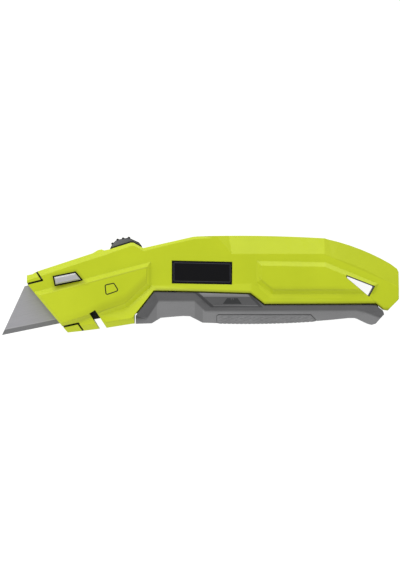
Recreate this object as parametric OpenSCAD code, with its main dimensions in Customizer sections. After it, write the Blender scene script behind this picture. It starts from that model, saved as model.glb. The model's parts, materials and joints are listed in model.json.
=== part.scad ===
// Retractable utility knife: die-cast body in two halves, sliding blade carriage,
// quick-change lock and a swing-down blade magazine in the grip.
// The knife lies on its side: X runs along it with the blade towards -X, Y is up in
// the hand, Z is its thickness and the surface it lies on is z = 0. Millimetres.

/* [Blade] */
// Length of the cutting edge
blade_l = 61; // [60:0.25:62]
// Length of the blade's back
blade_back = 33; // [32:0.25:34]
// Height of the blade
blade_h = 19; // [18.5:0.1:19.2]
// Thickness of the blade
blade_t = 0.6; // [0.5:0.05:0.65]
// Width of the ground edge
grind_w = 2.2; // [1.5:0.1:3]
// Length of cutting edge that stands out of the nose
blade_out = 26.2; // [24:0.2:27]
// Tilt of the blade's path against the handle
blade_tilt = 11.5; // [11:0.25:12]
// Depth of the locating notches in the blade's back
notch_d = 2.5; // [2.4:0.1:2.8]
// Distance between the two locating notches
notch_pitch = 7; // [6:0.25:8]

/* [Body] */
// Distance from the middle of the knife to the butt
butt_x = 86.6; // [85:0.2:90]
// Distance from the middle of the knife to the blade's tip
tip_x = 86.6; // [86:0.1:87]
// Drop of the blade's tip below the middle line
tip_y = 21.7; // [21.4:0.05:22]
// Height of the handle's back over the middle line
back_y = 21.4; // [21:0.1:22.5]
// Half thickness of the body at its raised panels
panel_half = 11; // [10.6:0.1:12]
// Half thickness of the body's plain sides
side_half = 9.2; // [8.8:0.1:9.6]
// Half thickness at the flared lip along the magazine
lip_half = 10.2; // [9.8:0.1:10.5]
// Half thickness of the handle at its back edge
back_half = 5.6; // [5:0.1:7]
// Half thickness of the nose at its upper and lower edges
nose_edge_half = 7.3; // [6.8:0.1:8]
// Width of the bevels along the nose's upper and lower edges
nose_bevel_w = 2.4; // [1.4:0.1:2.8]
// Width of the chamfer along the nose's front edge
nose_chamfer = 1; // [0.4:0.1:1.4]
// Thickness of the body's outer walls
wall = 2.4; // [2:0.1:2.8]
// Half width of the hollow inside the body
hollow_half = 6.9; // [6.6:0.1:7.1]
// Width of the bevels round the raised panels
panel_bevel = 2; // [1:0.1:2.6]
// Width of the bright facet along the handle's back
facet_w = 7.7; // [6:0.1:8]
// Gap between the magazine and the body
seam_gap = 0.6; // [0.5:0.05:0.8]
// Gap round the interlocking lugs of the nose
lug_gap = 0.6; // [0.4:0.05:0.7]
// Width of the cord-cutter notch
cord_w = 3.1; // [2.8:0.1:3.6]
// Radius of the body screws' shanks
screw_r = 1.25; // [1.1:0.05:1.5]
// Radius of the body screws' heads
screw_head_r = 2.3; // [2.1:0.1:2.4]
// Height of the body screws' heads
screw_head_h = 1.5; // [1.2:0.1:2]

/* [Carriage] */
// Half thickness of the blade carriage
carriage_half = 4; // [3.8:0.05:4.1]
// Thickness of the carriage's wall over the blade's back
carriage_over = 1.2; // [1.1:0.05:1.3]
// Distance of the carriage's floor below the cutting edge
carriage_floor = 1.3; // [1:0.1:1.5]
// Thickness of the carriage's wall behind the blade
carriage_back = 3.5; // [3.3:0.1:3.8]
// Distance that the retracted tip sits inside the nose
tip_inset = 1.3; // [1:0.1:1.5]
// Running gap between sliding pieces
run_gap = 0.15; // [0.1:0.01:0.2]
// Radius of the lock pin's thick part
lock_r = 1.25; // [1.1:0.05:1.3]
// Travel of the lock pin and of its release button
lock_travel = 1.2; // [1.1:0.05:1.25]

/* [Thumb slider] */
// Half width of the thumb slider's pad
pad_half = 4.7; // [4.2:0.1:4.8]
// Length of the thumb slider's stem
stem_l = 4.8; // [4.4:0.1:5]
// Half width of the thumb slider's stem
stem_half = 2.2; // [2:0.1:2.3]
// Travel of the thumb slider when it is pressed
press = 1; // [0.8:0.1:1.1]
// Number of grip ridges on the thumb slider
ridges = 4; // [3:1:5]
// Thickness of the detent plate
detent_t = 0.8; // [0.6:0.05:0.9]
// Number of positions that the slider clicks into
detents = 5; // [3:1:7]

/* [Release button] */
// Length of the release button along its upper edge
button_l = 9.3; // [8.6:0.1:9.6]
// Height of the release button
button_h = 3.3; // [3:0.1:3.6]
// Height of the button's face over the middle plane
button_half = 10.8; // [10.2:0.1:11]
// Width of the chamfer round the release button's face
button_chamfer = 0.6; // [0.2:0.1:0.9]
// Gap round the release button
button_gap = 0.5; // [0.3:0.05:0.6]

/* [Magazine] */
// Half thickness of the magazine below its crease
mag_half = 8.2; // [7.8:0.1:8.4]
// Thickness of the magazine's floor and cheeks
mag_wall = 2; // [1.6:0.1:2.2]
// Hinge position along the knife
hinge_x = 75.5; // [75.3:0.1:75.7]
// Hinge position across the knife
hinge_y = -13.2; // [-13.3:0.05:-13.1]
// Radius of the hinge pin
hinge_r = 1.25; // [1.1:0.05:1.4]
// Half width of the body's hinge tongue
tongue_half = 4; // [3.4:0.1:4.2]
// Radius of the hinge tongue's end
tongue_r = 2.3; // [2.1:0.05:2.4]
// Number of spare blades
spares = 5; // [1:1:5]
// Gap between spare blades
spare_gap = 0.04; // [0.02:0.01:0.06]
// Thickness of the blade tray's walls
tray_t = 1.1; // [0.9:0.05:1.3]
// Height of the blade tray's walls
tray_h = 12; // [8:0.5:13]
// Thickness of the soft grip pad
grip_t = 1.3; // [1:0.1:1.5]

/* [Hidden] */
$fn = 48;
far = 60;               // longer than any cut needs to be
eps = 0.01;

travel = blade_out + tip_inset;
nose_lean = tan(27.7);  // the nose edge leans back by this much for each unit of height
blade_rake = (blade_l - blade_back) / 2;
body_colour = [0.74, 0.8, 0.16];
grip_colour = [0.42, 0.42, 0.43];

// ---------------------------------------------------------------- helpers
function turned(p, a) = [p[0] * cos(a) - p[1] * sin(a), p[0] * sin(a) + p[1] * cos(a)];
// a point given along the blade (from its tip) and across it, in the knife's own axes
function on_blade(p) = [-tip_x, -tip_y] + turned(p, blade_tilt);
function all_on_blade(ps) = [for (p = ps) on_blade(p)];
function nose_u(v) = blade_out - v * nose_lean;
function arc3(a, b, c, n) = [for (i = [0:n]) let (t = i / n)
    (1 - t) * (1 - t) * a + 2 * t * (1 - t) * b + t * t * c];

module along_blade() { translate([-tip_x, -tip_y, 0]) rotate(blade_tilt) children(); }
module mid_plane() { translate([0, 0, panel_half]) children(); }
module slab(z0, z1) { translate([0, 0, z0]) linear_extrude(z1 - z0) children(); }
module both_sides() { children(); mirror([0, 0, 1]) children(); }
module box(x0, x1, y0, y1, z0, z1) {
    translate([x0, y0, z0]) cube([x1 - x0, y1 - y0, z1 - z0]);
}

// A strip of facets between the lines a and b, at heights za and zb along them, closed
// by a flat face at z0. It adds a band of surface, or cuts one when z0 is above it.
module facets(a, b, za, zb, z0) {
    n = len(a);
    top = concat([for (i = [0:n - 1]) [a[i][0], a[i][1], za[i]]],
                 [for (i = [0:n - 1]) [b[i][0], b[i][1], zb[i]]]);
    base = [for (p = top) [p[0], p[1], z0]];
    m = 2 * n;
    side = cross(a[1] - a[0], b[0] - a[0]) > 0;
    above = z0 > za[0];
    faces = concat(
        [for (i = [0:n - 2]) [i, i + 1, n + i + 1]],
        [for (i = [0:n - 2]) [i, n + i + 1, n + i]],
        [for (i = [0:n - 2]) [m + i, m + n + i, m + n + i + 1, m + i + 1]],
        [for (i = [0:n - 2]) [m + i, m + i + 1, i + 1, i]],
        [for (i = [0:n - 2]) [m + n + i + 1, m + n + i, n + i, n + i + 1]],
        [[m + n, m, 0, n], [m + n - 1, m + m - 1, m - 1, n - 1]]);
    turn = side != above;
    polyhedron(concat(top, base),
        turn ? [for (f = faces) [for (i = [len(f) - 1:-1:0]) f[i]]] : faces);
}
// the same line moved outward past the outline, so that a cut runs off the edge
function past(a, b) = [for (i = [0:len(a) - 1]) a[i] + (a[i] - b[i])];
function past_z(za, zb) = [for (i = [0:len(za) - 1]) 2 * za[i] - zb[i]];

// A round wire wound on a radius, from height z0 to z1
module coil(radius, wire_r, turns, z0, z1) {
    steps = 14;
    sides = 6;
    rings = turns * steps;
    pts = [for (i = [0:rings], j = [0:sides - 1])
        let (a = 360 * i / steps, b = 360 * j / sides, r = radius + wire_r * cos(b))
        [r * cos(a), r * sin(a),
         z0 + wire_r + (z1 - z0 - 2 * wire_r) * i / rings + wire_r * sin(b)]];
    polyhedron(pts, concat(
        [[for (j = [0:sides - 1]) j]],
        [[for (j = [sides - 1:-1:0]) rings * sides + j]],
        [for (i = [0:rings - 1], j = [0:sides - 1]) let (k = (j + 1) % sides)
            [i * sides + j, (i + 1) * sides + j, (i + 1) * sides + k, i * sides + k]]));
}

// ---------------------------------------------------------------- outlines
carriage_top = blade_h + carriage_over;
carriage_end = blade_l + carriage_back;
lock_u = blade_l / 2 + notch_pitch / 2;
lock_v = blade_h - 1.1; // the lock pin stands in the rear notch
lug_v = blade_h + 0.7;  // lower corner of the nose's upper lug
nose_v = blade_h + 4.4; // top of the nose
deck_v = blade_h + 5.9; // body edge beside the thumb slider
nose_low = -4.6;        // lower corner of the nose
slider_u = carriage_end - 4.1;  // middle of the thumb slider's stem
pad_foot = deck_v - 0.4;  // underside of the slider's pad at rest
slot_floor = pad_foot - press - 0.3;

// rise of the body in front of the slider and beside it, from the slider's middle
ramp = [[-14.2, 2.2], [-11.8, 3.1], [-10.1, 3.1], [-9.2, 2.4], [-6.7, 2.4], [2.9, 3.4],
    [4.2, 3.1], [7.8, 0], [30.1, 0.5]];
nose_top = all_on_blade(concat([[nose_u(lug_v) - 0.4, lug_v], [nose_u(lug_v) + 0.3, nose_v],
    [18.6, nose_v], [20.5, nose_v + 0.7]], [for (p = ramp) [slider_u, deck_v] + p]));
nose_bottom = all_on_blade([[57.3, -6.5], [46, -6], [35, -5.2],
    [nose_u(nose_low), nose_low]]);
back_line = arc3([-1, back_y], [24, back_y + 0.9], [54.3, back_y - 0.8], 8);
slope_line = arc3([55.6, back_y - 1.2], [70.5, back_y - 4.6], [butt_x - 3.5, 9.4], 6);
butt_line = [[butt_x - 0.7, 7.3], [butt_x, 5.9], [butt_x, -5.9], [butt_x - 0.6, -6.6],
    [butt_x - 3, -9]];
tail_line = [[80.5, -12.2], [77.9, -15.1], [76.6, -16.6], [74.8, -17.2], [73.3, -16.8],
    [68.7, -14.6], [67.4, -14.2], [64.7, -14.2]];
belly_line = arc3([56.9, -15], [30, -17.4], [1.1, -16.2], 8);
choil_line = [[-2.2, -14.5], [-4.4, -13.4], [-7.4, -13.3], [-12.7, -13.7], [-17.1, -14.1],
    [-21, -16.5], [-27.6, -16.7]];

// the whole knife without its blade, seen from the side
module outline() {
    polygon(concat(nose_top, back_line, slope_line, butt_line, tail_line, belly_line,
        choil_line, nose_bottom));
}

// line where the magazine meets the body, from the hinge to the front
seam = [[81.4, -11.2], [80, -10.9], [76.6, -8.1], [28, -8.3], [21.9, -3.6], [-4.4, -2.75],
    [-20, -2.5], [-28.3, -13.1], [-28.3, -far]];
module below_seam(shift) {
    offset(delta = shift) polygon(concat(seam, [[far * 2, -far], [far * 2, -11.2]]));
}
module body_outline() {
    difference() {
        outline();
        below_seam(seam_gap / 2);
    }
}
module magazine_outline() {
    intersection() {
        outline();
        below_seam(-seam_gap / 2);
    }
}

// a strip along the seam, lapping over the body by root and the magazine by reach
module seam_strip(root, reach, x0, x1) {
    intersection() {
        difference() {
            below_seam(seam_gap / 2 + root);
            below_seam(-seam_gap / 2 - reach);
        }
        translate([x0, skirt_foot]) square([x1 - x0, far]);
    }
}
skirt_foot = -12.2;     // lowest point of the skirt at the front
skirt_lap = 0.8;        // how far the skirt reaches behind the magazine's edge

nose_panel = [[-76.6, -4], [-21.4, 10.3], [-21.2, -0.2], [-31.7, -9.6], [-63.8, -19.6]];
rear_panel = [[24.7, 10.7], [54.8, 10.1], [77.7, 0.7], [75.6, -3.6], [31.5, -3.6],
    [24.7, 1.4]];
lanyard = [[61.8, 5.1], [75.9, -0.4], [73.5, -4.7]];
lanyard_r = 0.5;        // rounding of the lanyard hole's corners
lanyard_wall = 1.6;
plate_corners = [[-12.2, 10.8], [14, 10.2], [13.9, 0.45], [-12.2, 0.95]];

// interlocking lugs of the nose, which belong to the back half
upper_lug = all_on_blade([[12.8, lug_v + 0.14], [14.35, nose_v + 4], [20, nose_v + 1.2],
    [21.9, lug_v + 0.54]]);
lower_lug = [[-62.8, -19], [-53.2, -16.9], [-50.2, -21.2], [-60, -24]];
module lugs(grow) {
    offset(delta = grow) polygon(upper_lug);
    offset(delta = grow) polygon(lower_lug);
}

screw_spots = [on_blade([22.9, 21.5]), [13, 14], [60, 11.6]];

// ---------------------------------------------------------------- body skin
// lip that flares out along the magazine: its outer line, then its inner crease
lip_outer = [[76.6, -8.1], [28, -8.3], [21.9, -3.6], [-20, -2.5], [-28.5, -13.1],
    [-30.2, -15.1], [-40.6, -16.6]];
lip_inner = [[73.6, -3.7], [31.4, -3.7], [22.6, 0.9], [-21, 0.1], [-31.2, -9.7],
    [-33.6, -11.2], [-43.3, -13.2]];
lip_z = [side_half + 0.2, lip_half, lip_half, lip_half, lip_half, lip_half, side_half + 0.2];

// bevels along the outline, each as its edge, its inner line and its edge height; the one
// along the top runs from the nose past the slider and fades out on the handle's back
top_edge_u = concat([[14, nose_v - 0.2], [20.5, nose_v + 0.7]],
    [for (p = [ramp[0], ramp[3], ramp[4], ramp[5], ramp[6], ramp[7], [21.6, 0.3], ramp[8],
        [38.5, -0.8]]) [slider_u, deck_v] + p]);
top_widths = concat(same(3, nose_bevel_w), [0.88, 0.7, 0.6, 0.6, 0.54, 0.46, 0.46, 0.42]
    * nose_bevel_w);
top_in_u = [for (i = [0:10]) top_edge_u[i] - [0, top_widths[i]]];
top_z = concat(same(3, nose_edge_half), [for (k = [0.84, 0.68, 0.58, 0.58, 0.58, 0.5, 0.45, 0])
    side_half + k * (nose_edge_half - side_half)]);
low_edge_u = [[60, -6.7], [46, -6], [35, -5.2], [25, -4.2]];
front_edge_u = [for (v = [nose_low, blade_h]) [nose_u(v), v]];
front_in_u = [for (p = front_edge_u) p + [nose_chamfer, 0]];
function edge_in(ps, d) = [for (p = ps) p - [0, d]];
facet_edge = concat([[6.9, back_y + 0.3], [12.5, back_y + 0.3]],
    [for (i = [4:8]) back_line[i]], [for (i = [1:6]) slope_line[i]], [[butt_x + 2, 6]]);
facet_in = concat([for (x = [13.2, 13.7]) [x, back_y - facet_w]],
    [for (i = [4:8]) [back_line[i][0], back_y - facet_w]],
    [for (i = [1:6]) slope_line[i] - facet_w * [0.35, 0.9]], [[butt_x + 1, -1.6]]);

module edge_cut(edge, inner, z_edge, z_in) {
    facets(past(edge, inner), inner, past_z(z_edge, z_in), z_in, panel_half + 1);
}
function same(n, z) = [for (i = [1:n]) z];

module panel(corners) {
    hull() {
        slab(hollow_half, side_half) polygon(corners);
        slab(panel_half - eps, panel_half) offset(delta = -panel_bevel) polygon(corners);
    }
}

// outer form of one half, from the parting plane up
module half_skin() {
    difference() {
        union() {
            slab(0, side_half) outline();
            panel(nose_panel);
            panel(rear_panel);
            facets(lip_outer, lip_inner, lip_z, same(7, side_half), hollow_half);
        }
        edge_cut(all_on_blade(top_edge_u), all_on_blade(top_in_u), top_z,
            same(11, side_half));
        edge_cut(all_on_blade(low_edge_u), all_on_blade(edge_in(low_edge_u, -nose_bevel_w)),
            same(4, nose_edge_half), same(4, side_half));
        // chamfer down the nose's front edge
        edge_cut(all_on_blade(front_edge_u), all_on_blade(front_in_u),
            same(2, panel_half - nose_chamfer), same(2, panel_half));
        back_facet();
    }
}
module back_facet() {
    edge_cut(facet_edge, facet_in,
        concat([side_half], same(len(facet_edge) - 1, back_half)),
        same(len(facet_edge), side_half));
}

// ---------------------------------------------------------------- body inside
guide_v = [7.6, 9.5];   // rib that runs in the carriage's groove
steady_v = [carriage_top - 5.6, carriage_top - 3.7];    // rib that steadies its top
groove_d = 0.8;         // depth of the carriage's groove
carriage_u = lock_u - 3;        // front of the carriage
block_u = carriage_u - 0.6;     // rear face of the solid nose
roof_end = slider_u + travel + 7;
slot_u0 = slider_u - stem_l / 2 - run_gap;
slot_u1 = slider_u + stem_l / 2 + travel + run_gap;
pad_front = slider_u - 6.6;
pad_back = slider_u + 7.4;
detent_u = slider_u - 8.4;      // ridge of the detent leaf
detent_w = 2.4;

// the hollow of one half follows the facet of the handle's back
module hollow() {
    difference() {
        slab(-1, hollow_half) offset(delta = -wall) outline();
        translate([0, 0, hollow_half - side_half]) back_facet();
    }
}

// what stands inside one half: nose block, roof, ribs, bosses and hinge tongue
module half_inside(clip) {
    intersection() {
        slab(0, hollow_half + eps) body_outline();
        half_skin();
        union() {
            along_blade() {
                box(-far, block_u, -far, far, 0, far);
                box(-far, roof_end, carriage_top + run_gap, far, 0, far);
                box(-far, slider_u - 4.4, -far, -carriage_floor - run_gap, 0, far);
                box(block_u, roof_end, guide_v[0], guide_v[1],
                    carriage_half - groove_d + run_gap, far);
                box(block_u + 10.6, roof_end, steady_v[0], steady_v[1], carriage_half + run_gap, far);
            }
            for (p = screw_spots) translate([p[0], p[1], 0]) cylinder(h = far, r = 3.1);
            slab(0, far) offset(r = lanyard_wall) polygon(lanyard);
            box(hinge_x - tongue_r, butt_x, -12, -5.2, 0, far);
        }
    }
    seam_skirt(clip);
    // tongue that carries the hinge pin
    slab(0, tongue_half) {
        translate([hinge_x, hinge_y]) circle(tongue_r);
        translate([hinge_x - tongue_r, hinge_y]) square([2 * tongue_r, 7]);
    }
}

// skirt inside the seam, which keeps light and dust out; it stops at the spring clip
module seam_skirt(clip) {
    half = carriage_half + skirt_clear;
    for (x = [[skirt_x0, clip - clip_room], [clip + clip_room, skirt_x1]]) {
        slab(half, trough_half - skirt_fit) seam_strip(skirt_root, skirt_lap, x[0], x[1]);
        slab(half, hollow_half + eps) seam_strip(skirt_root, -seam_gap, x[0], x[1]);
    }
    // web that goes on to the hinge tongue beside the tray
    slab(tongue_half - web_t, tongue_half)
        seam_strip(skirt_root, skirt_lap, skirt_x1 - web_t, hinge_x - tongue_r + web_t / 3);
}
skirt_x0 = -29;
skirt_x1 = hinge_x - 4.6;
skirt_root = 1;         // width of the skirt that joins the body's wall
web_t = 0.9;
skirt_clear = 0.9;      // gap between the carriage and the skirt
skirt_fit = 0.2;        // gap between the skirt and the magazine's wall
clip_room = 1.9;        // half width of the gap that the skirt leaves for a clip

module release_outline(grow) {
    // the front end is square and the rear end slants with the nose
    offset(delta = grow) translate(release_spot)
        polygon([[0, 0], [0, button_h], [button_l, button_h], [button_l + 1.8, 0]]);
}
release_spot = [lock_u - 6.3, lock_v - 1];      // lower front corner of the button
release_spring_spot = release_spot + [1.2, 1.7];    // axis of its spring

// the cuts that both halves share
module half_cuts() {
    slab(-1, far) offset(r = lanyard_r) offset(delta = -lanyard_r) polygon(lanyard);
    along_blade() {
        // slit for the blade through the nose
        box(-5, block_u + 1, -0.5, blade_h + 0.35, -1, blade_t / 2 + run_gap + 0.05);
        // groove for the slider's pad and slot for its stem
        box(pad_front - 0.4, pad_back + travel + 0.4, slot_floor, far,
            -1, pad_half + 0.3);
        box(slot_u0, slot_u1, carriage_top - 1, far, -1, stem_half + run_gap);
        // seat of the detent plate and the way of its spring under it
        box(detent_u - 10, roof_end - 2, detent_v - 0.05, detent_v + detent_t + 0.05,
            -1, detent_half + 0.05);
        box(detent_u - 14, roof_end + 5, carriage_top - 1, detent_v, -1, stem_half + 2 * run_gap);
        // cord-cutter notch, leaning as the nose does
        translate([39.6, 0]) slab(-1, far) polygon([[0, 1.6], [cord_w - 0.4, 2.6],
            [cord_w, 1.6], [cord_w + 7.9 * nose_lean * 0.9, -8], [7.9 * nose_lean * 0.9, -8]]);
    }
    for (p = screw_spots) translate([p[0], p[1], -1]) cylinder(h = 6.6, r = screw_r + 0.05);
    translate([hinge_x, hinge_y, -1]) cylinder(h = far, r = hinge_r + run_fit);
}
detent_v = carriage_top + 0.5;
detent_half = 4.6;
release_floor = 5.9;    // underside of the release button's flange
release_flange = 0.9;
release_spring_foot = 2.6;

// one half, open inside
module half_body(clip) {
    difference() {
        union() {
            difference() {
                intersection() {
                    half_skin();
                    slab(0, far) body_outline();
                }
                hollow();
            }
            half_inside(clip);
        }
        half_cuts();
    }
}

// ---------------------------------------------------------------- body pieces
module front_shell() {
    color(body_colour) mid_plane() difference() {
        half_body(clip_front);
        slab(-1, far) lugs(lug_gap);
        // window, flange pocket and spring hole of the release button
        along_blade() {
            slab(0, far) release_outline(button_gap);
            slab(release_floor - lock_travel - 0.2, release_floor + release_flange + 0.15)
                release_outline(1.2);
            translate(release_spring_spot) translate([0, 0, release_spring_foot])
                cylinder(h = 5, r = 1.3);
        }
        // bed of the brand plate
        slab(side_half - plate_t, far) offset(delta = 0.06) polygon(plate_corners);
    }
}
plate_t = 0.6;

module back_shell() {
    color(body_colour) mid_plane() difference() {
        union() {
            mirror([0, 0, 1]) half_body(clip_back);
            intersection() {
                slab(-eps, side_half) lugs(0);
                half_skin();
                slab(-far, far) body_outline();
            }
        }
        along_blade() box(-5, block_u + 1, -0.5, blade_h + 0.35, -1, 1);
        for (p = screw_spots) translate([p[0], p[1], -far]) {
            cylinder(h = far + 1, r = screw_r + 0.15);
            cylinder(h = far - screw_seat, r = screw_head_r + 0.15);
        }
    }
}
screw_seat = side_half - 2.6;   // depth at which the screw heads sit

module brand_plate() {
    color([0.09, 0.09, 0.11]) mid_plane()
        slab(side_half - plate_t, side_half + 0.05) polygon(plate_corners);
}

module body_screws() {
    color("silver") mid_plane() for (p = screw_spots) translate([p[0], p[1], 0])
        difference() {
            union() {
                translate([0, 0, -screw_seat]) cylinder(h = screw_seat + 5, r = screw_r);
                translate([0, 0, -screw_seat - screw_head_h])
                    cylinder(h = screw_head_h, r = screw_head_r);
            }
            translate([0, 0, -screw_seat - screw_head_h - eps]) cylinder(h = 0.9, r = 1, $fn = 6);
        }
}

module detent_plate() {
    color("gainsboro") mid_plane() along_blade() difference() {
        box(detent_u - 10, roof_end - 2, detent_v, detent_v + detent_t,
            -detent_half, detent_half);
        box(slot_u0, slot_u1, 0, far, -stem_half - run_gap, stem_half + run_gap);
        for (i = [0:detents - 1]) {
            u = detent_u + i * travel / (detents - 1);
            box(u - detent_w / 2, u + detent_w / 2, 0, far, -stem_half - 1, stem_half + 1);
        }
    }
}

pin_back = mag_half - 0.3;
pin_front = mag_half - 1.6;
run_fit = 0.04;         // radial gap between a pin and its bore
module hinge_pin() {
    color("silver") mid_plane() translate([hinge_x, hinge_y, -pin_back])
        cylinder(h = pin_back + pin_front, r = hinge_r);
}

// ---------------------------------------------------------------- release button
module release_button() {
    color([0.72, 0.72, 0.73]) mid_plane() along_blade() {
        hull() {
            slab(release_floor, button_half - button_chamfer) release_outline(0);
            slab(release_floor, button_half) release_outline(-button_chamfer);
        }
        slab(release_floor, release_floor + release_flange) release_outline(0.9);
        translate([lock_u, lock_v, carriage_half + 0.2])
            cylinder(h = release_floor - carriage_half, r = lock_r);
    }
}

module release_spring() {
    color("silver") mid_plane() along_blade() translate(release_spring_spot)
        coil(0.95, 0.2, 4, release_spring_foot, release_floor);
}

// ---------------------------------------------------------------- blade
module blade_outline() {
    polygon([[0, 0], [blade_rake, blade_h], [blade_l - blade_rake, blade_h], [blade_l, 0]]);
}
module blade_notches(grow) {
    for (s = [-1, 1]) translate([blade_l / 2 + s * notch_pitch / 2, blade_h - notch_d]) {
        translate([0, lock_r + 0.1]) circle(lock_r + 0.1 + grow);
        translate([-lock_r - 0.1, lock_r]) square([2 * lock_r + 0.2, notch_d]);
    }
}
// a trapezoid blade, ground on both faces of its long edge
module trapezoid_blade() {
    difference() {
        slab(-blade_t / 2, blade_t / 2) difference() {
            blade_outline();
            blade_notches(0);
        }
        both_sides() rotate([90, 0, 90]) translate([0, 0, -1]) linear_extrude(blade_l + 2)
            polygon([[-1, 0.02], [-1, blade_t], [grind_w, blade_t], [grind_w, blade_t / 2],
                [0, 0.02]]);
    }
}
module cutting_blade() { color("lightgray") mid_plane() along_blade() trapezoid_blade(); }

// ---------------------------------------------------------------- carriage
split_z = blade_t / 2 + 0.05;
stem_v = deck_v - 10.4; // foot of the slider's stem
spring_v = stem_v - 5.2;        // floor of the thumb spring's pocket

module carriage_outline() {
    polygon([[carriage_u, carriage_top], [carriage_u, 12], [carriage_u + 5, -carriage_floor],
        [carriage_end - 1.5, -carriage_floor], [carriage_end, 1], [carriage_end, carriage_top]]);
}
module carriage_block(z0, z1) {
    difference() {
        slab(z0, z1) carriage_outline();
        // grooves that run on the body's ribs
        both_sides() box(0, far * 2, guide_v[0] - run_gap, guide_v[1] + run_gap,
            carriage_half - groove_d, far);
        // way of the slider's stem
        box(slider_u - stem_l / 2 - run_gap, slider_u + stem_l / 2 + run_gap, spring_v, far,
            -stem_half - run_gap, stem_half + run_gap);
        translate([lock_u, lock_v, -carriage_half + 0.5]) cylinder(h = far, r = lock_r + 0.05);
    }
}
module blade_carrier() {
    color([0.13, 0.13, 0.14]) mid_plane() along_blade() difference() {
        carriage_block(-carriage_half, split_z);
        slab(-split_z, far) offset(delta = 0.08) blade_outline();
    }
}
module carrier_cover() {
    color([0.16, 0.16, 0.17]) mid_plane() along_blade()
        carriage_block(split_z + 0.02, carriage_half);
}

// pin with a waist: its thick part fills the blade's notch until it is pressed
module lock_pin() {
    thick = blade_t / 2 + 0.6;
    color("silver") mid_plane() along_blade() translate([lock_u, lock_v, 0]) {
        translate([0, 0, -thick]) cylinder(h = 2 * thick - 0.1, r = lock_r);
        translate([0, 0, 0]) cylinder(h = carriage_half - 1, r = lock_r / 2);
        translate([0, 0, thick + lock_travel]) cylinder(h = carriage_half - thick
            - lock_travel - 0.05, r = lock_r);
    }
}
module lock_spring() {
    color("silver") mid_plane() along_blade() translate([lock_u, lock_v, 0])
        coil(0.9, 0.2, 4, -carriage_half + 0.5, -blade_t / 2 - 0.6);
}

// ---------------------------------------------------------------- thumb slider
slider_crown = [[-6.6, 2.5], [-5.1, 4.5], [-3.4, 5.6], [-2, 5.85], [0.8, 5.8], [2.2, 5.8],
    [3.2, 5.2], [6.4, 2.9], [7.2, 1.3]];
ridge_u = -5;           // first ridge, from the slider's middle
ridge_r = 0.55;
ridge_pitch = 2.5;
module thumb_slider() {
    color([0.22, 0.22, 0.23]) mid_plane() along_blade() {
        slab(-pad_half, pad_half) {
            polygon(concat([[pad_back, pad_foot], [pad_front, pad_foot]],
                [for (p = slider_crown) [slider_u, deck_v] + p]));
            // round grip ridges across the crown
            for (i = [0:ridges - 1]) let (u = ridge_u + i * ridge_pitch)
                translate([slider_u + u, deck_v + lookup(u, slider_crown)]) circle(ridge_r);
        }
        box(slider_u - stem_l / 2, slider_u + stem_l / 2, stem_v, deck_v,
            -stem_half, stem_half);
    }
}
module thumb_spring() {
    color("silver") mid_plane() along_blade() translate([slider_u, spring_v, 0])
        rotate([-90, 0, 0]) coil(1.6, 0.25, 4, 0, stem_v - spring_v);
}
// bent leaf on the carriage whose ridge clicks into the detent plate
module detent_spring() {
    t = 0.25;
    color("silver") mid_plane() along_blade() slab(-stem_half, stem_half)
        polygon([[detent_u - 9, carriage_top], [slider_u - stem_l / 2 - 0.3, carriage_top],
            [slider_u - stem_l / 2 - 0.3, carriage_top + t],
            [detent_u + 1.1, carriage_top + t], [detent_u + 0.4, detent_v + 0.6],
            [detent_u - 0.4, detent_v + 0.6], [detent_u - 1.1, carriage_top + t],
            [detent_u - 9, carriage_top + t]]);
}

// ---------------------------------------------------------------- magazine
crease_y = -11.8;       // where the magazine's flank turns upright
choil_crease_y = -7.4;  // the same over the finger's hollow
tray_floor = -13.3;     // inside of the magazine's floor under the tray
tray_x0 = 8;
spare_x = tray_x0 + tray_t + 0.9;
spare_y = tray_floor + tray_t + 0.15;
swing_r = -8.1 - seam_gap / 2 - 0.15 - hinge_y;
mag_lip_outer = [[84, -13.4], [80, -11.2], [76.6, -8.1], [28, -8.3], [21.9, -3.6],
    [-1.6, -2.8], [-20, -2.5], [-28.3, -13.1]];
mag_lip_inner = [[82, -16.2], [72, -12.3], [67.8, -11.5], [15, crease_y], [2.2, crease_y],
    [-2.4, choil_crease_y], [-18, choil_crease_y], [-23, -14.8]];

pad_outline = [[7.2, -13.2], [7.9, -12.6], [48.4, -12.6], [51.6, -16], [51, -19], [7.2, -19]];
catch_outline = [[-2.6, -2.9], [4.8, -9.5], [27.4, -9.5], [21.4, -2.9]];
catch_rise = 0.7;       // height of the thumb catch over the slope it stands on
catch_bevel = 1.1;

module grip_zone(inset, half) {
    slab(-half, half) intersection() {
        outline();
        polygon(pad_outline);
        translate([0, inset]) outline();
    }
}

// raised thumb catch, which follows the slope of the magazine's upper band
module catch_panel() {
    slope = (lip_half - mag_half) / (seam_mid_y - crease_y);
    multmatrix([[1, 0, 0, 0], [0, 1, 0, 0], [0, slope, 1, lip_half - slope * seam_mid_y]])
        hull() {
            slab(-1, 0) polygon(catch_outline);
            slab(0, catch_rise) offset(delta = -catch_bevel) polygon(catch_outline);
        }
}
seam_mid_y = -3.2;      // height of the seam over the catch

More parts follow.
